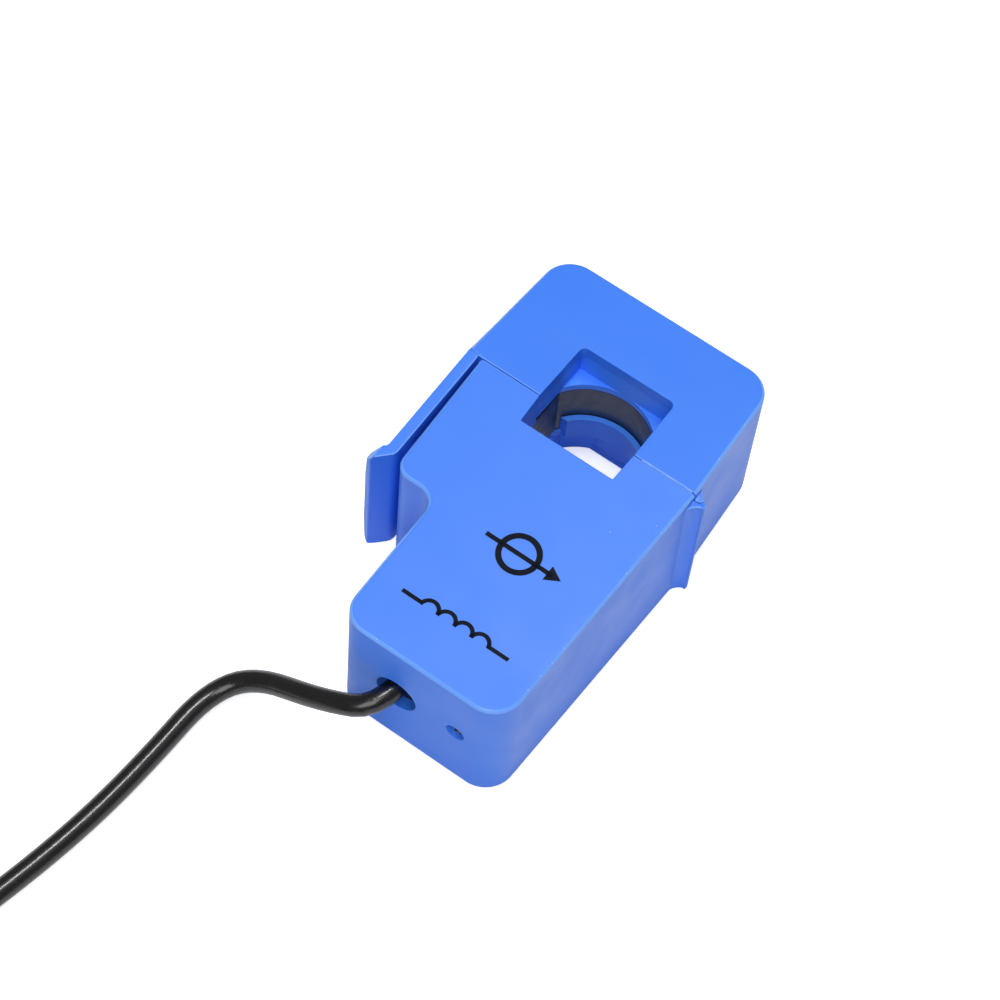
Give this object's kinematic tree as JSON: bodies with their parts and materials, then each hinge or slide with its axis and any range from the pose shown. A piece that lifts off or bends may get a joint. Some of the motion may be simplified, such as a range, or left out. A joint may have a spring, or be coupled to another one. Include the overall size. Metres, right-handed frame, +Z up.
{
  "type": "split-core current transformer",
  "caption": "Clip-on split-core current transformer: hinged blue shell with a square window, ferrite core and winding inside, and a black cord with a plug.",
  "frame": {"origin": "middle of the rectangle that encloses the closed shell, on the plane its flat base rests on", "axes": "+Y from the cord's end along the shell to the cap's far end, +X towards the hinge, +Z up through the window from the flat base"},
  "size_m": [0.0585, 0.1551, 0.0218],
  "materials": {
    "shell_blue": "moulded, semi-gloss",
    "ferrite": "ground, satin",
    "bobbin_black": "moulded",
    "copper": "enamelled wire, glossy",
    "tape_yellow": "polyester film",
    "board_green": "solder-masked glass epoxy",
    "tinned": "tinned metal",
    "steel": "zinc-plated steel",
    "diode_black": "moulded epoxy",
    "wire_red": "wire insulation",
    "wire_white": "wire insulation",
    "cord_black": "soft jacket, semi-gloss",
    "plug_black": "moulded, satin",
    "plug_metal": "nickel-plated brass"
  },
  "bodies": {
    "housing_body": {"housing": "shell_blue", "body_frame": "shell_blue", "core_lower": "ferrite", "bobbin_top": "bobbin_black", "bobbin_base": "bobbin_black", "winding": "copper", "winding_tape": "tape_yellow", "terminal_board": "board_green", "terminal_pins": "tinned", "clamp_diode": "diode_black", "cord_clamp": "bobbin_black", "clamp_screw": "steel", "lead_start": "copper", "lead_finish": "copper", "conductor_red": "wire_red", "conductor_white": "wire_white", "cord": "cord_black", "cord_coil": "cord_black", "cord_tail": "cord_black", "coil_tie": "cord_black", "plug_boot": "plug_black", "plug_handle": "plug_black", "plug_collar": "plug_metal", "plug_sleeve": "plug_metal", "plug_ring_gap": "plug_black", "plug_ring": "plug_metal", "plug_tip_gap": "plug_black", "plug_tip": "plug_metal"},
    "cap_body": {"cap": "shell_blue", "cap_frame": "shell_blue", "core_upper": "ferrite", "core_spring": "steel"}
  },
  "joints": [
    {"name": "cap_hinge", "type": "hinge", "parent": "housing_body", "child": "cap_body", "pos_m": [0.0177, 0.0094, 0.01], "axis": [0, 0, -1], "range_deg": [0, 100]}
  ]
}
